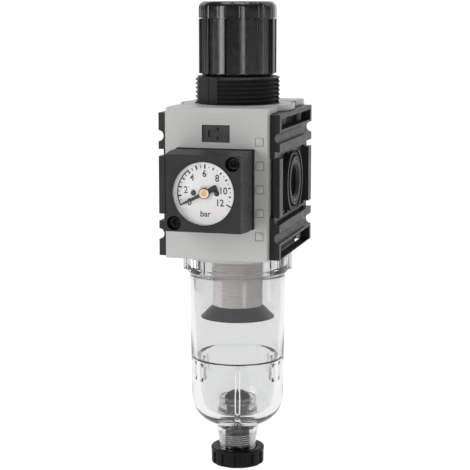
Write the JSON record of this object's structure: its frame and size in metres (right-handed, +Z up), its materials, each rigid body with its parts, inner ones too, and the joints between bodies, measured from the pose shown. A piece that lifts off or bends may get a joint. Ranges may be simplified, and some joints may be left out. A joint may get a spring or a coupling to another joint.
{
  "type": "filter regulator with gauge",
  "caption": "Compressed-air filter regulator with a ribbed setting knob, a square pressure gauge, threaded side ports, a clear filter bowl and a hand-turned drain.",
  "frame": {"origin": "on the main axis at the foot of the panel thread, on the body's top face", "axes": "+Z up along the panel thread towards the knob, +X from inlet to outlet, -Y towards the gauge"},
  "size_m": [0.0428, 0.0724, 0.1673],
  "materials": {
    "cover_grey": "satin moulded plastic",
    "black_plastic": "fine matte grain",
    "knob_black": "satin",
    "core_black": "glass-filled plastic",
    "rubber": "matt",
    "steel": "bright wire",
    "brass": "turned",
    "clear_plastic": "clear moulded",
    "white_plastic": "satin",
    "dial_white": "satin white",
    "pointer_black": "satin",
    "filter_beige": "sintered",
    "baffle_brown": "satin",
    "arrow_grey": "matt"
  },
  "bodies": {
    "housing": {"bonnet": "black_plastic", "detent_ring": "rubber", "thrust_washer": "brass", "diaphragm": "rubber", "valve_seat": "brass", "valve_spring": "steel", "valve_guide": "white_plastic", "guide_oring": "rubber", "body_core": "core_black", "head_plate": "cover_grey", "head_ring": "cover_grey", "front_cover": "cover_grey", "rear_cover": "cover_grey", "left_frame": "black_plastic", "right_frame": "black_plastic", "inlet_insert": "core_black", "outlet_insert": "core_black", "port_orings": "rubber", "arrow_plate": "arrow_grey", "rear_screws": "steel", "rear_plug": "core_black", "gauge_housing": "black_plastic", "gauge_gasket": "rubber", "gauge_bezel": "knob_black", "gauge_lens": "clear_plastic", "gauge_dial": "dial_white", "dial_rivets": "pointer_black", "movement_plates": "brass", "bourdon_tube": "brass", "gauge_socket": "brass", "gauge_oring": "rubber", "gauge_screws": "steel", "swirl_ring": "white_plastic", "filter_element": "filter_beige", "filter_stud": "white_plastic", "baffle": "baffle_brown", "regulating_spring": "steel"},
    "spindle": {"spindle": "steel"},
    "knob": {"knob": "knob_black", "knob_cap": "knob_black"},
    "spring_nut": {"spring_nut": "brass"},
    "diaphragm_stack": {"diaphragm_plate": "steel", "relief_seat": "brass"},
    "valve": {"valve_stem": "brass", "valve_disc": "rubber"},
    "sector": {"sector_gear": "brass", "gauge_link": "brass"},
    "pointer": {"gauge_pointer": "pointer_black", "pointer_pinion": "brass"},
    "bowl": {"bowl": "clear_plastic", "bowl_oring": "rubber", "drain_seat": "clear_plastic", "drain_spring": "steel"},
    "drain_knob": {"drain_knob": "knob_black"},
    "drain_stem": {"drain_stem": "core_black", "drain_washer": "white_plastic", "drain_seal": "rubber"}
  },
  "joints": [
    {"name": "spindle_turn", "type": "hinge", "parent": "housing", "child": "spindle", "pos_m": [0, 0, 0], "axis": [0, 0, 1], "range_deg": [-1441, 0]},
    {"name": "knob_lift", "type": "slide", "parent": "spindle", "child": "knob", "axis": [0, 0, 1], "range_m": [0, 0.003]},
    {"name": "nut_travel", "type": "slide", "parent": "housing", "child": "spring_nut", "axis": [0, 0, 1], "range_m": [-0.005, 0], "deforming": ["regulating_spring"]},
    {"name": "diaphragm_stroke", "type": "slide", "parent": "housing", "child": "diaphragm_stack", "axis": [0, 0, 1], "range_m": [-0.0012, 0], "stiffness_N_per_m": 800, "deforming": ["diaphragm"]},
    {"name": "valve_stroke", "type": "slide", "parent": "housing", "child": "valve", "axis": [0, 0, 1], "range_m": [-0.00121, 0], "deforming": ["valve_spring"]},
    {"name": "sector_turn", "type": "hinge", "parent": "housing", "child": "sector", "pos_m": [0, -0.0382, -0.03575], "axis": [0, -1, 0], "range_deg": [0, 38.8], "stiffness_Nm_per_rad": 0.0001},
    {"name": "pointer_turn", "type": "hinge", "parent": "housing", "child": "pointer", "pos_m": [0, -0.0382, -0.027], "axis": [0, -1, 0], "range_deg": [-233, 0]},
    {"name": "bowl_twist", "type": "hinge", "parent": "housing", "child": "bowl", "pos_m": [0, 0, -0.05], "axis": [0, 0, 1], "range_deg": [-30, 0]},
    {"name": "drain_knob_turn", "type": "hinge", "parent": "bowl", "child": "drain_knob", "pos_m": [0, 0, -0.129], "axis": [0, 0, 1], "range_deg": [-361, 0]},
    {"name": "drain_stem_lift", "type": "slide", "parent": "bowl", "child": "drain_stem", "axis": [0, 0, 1], "range_m": [0, 0.001], "deforming": ["drain_spring"]}
  ],
  "couplings": [
    {"joint": "spindle_turn", "follows": "nut_travel", "rad_per_m": 5026.5},
    {"joint": "valve_stroke", "follows": "diaphragm_stroke", "ratio": 1},
    {"joint": "pointer_turn", "follows": "sector_turn", "ratio": -6},
    {"joint": "drain_knob_turn", "follows": "drain_stem_lift", "rad_per_m": -6283.2}
  ]
}
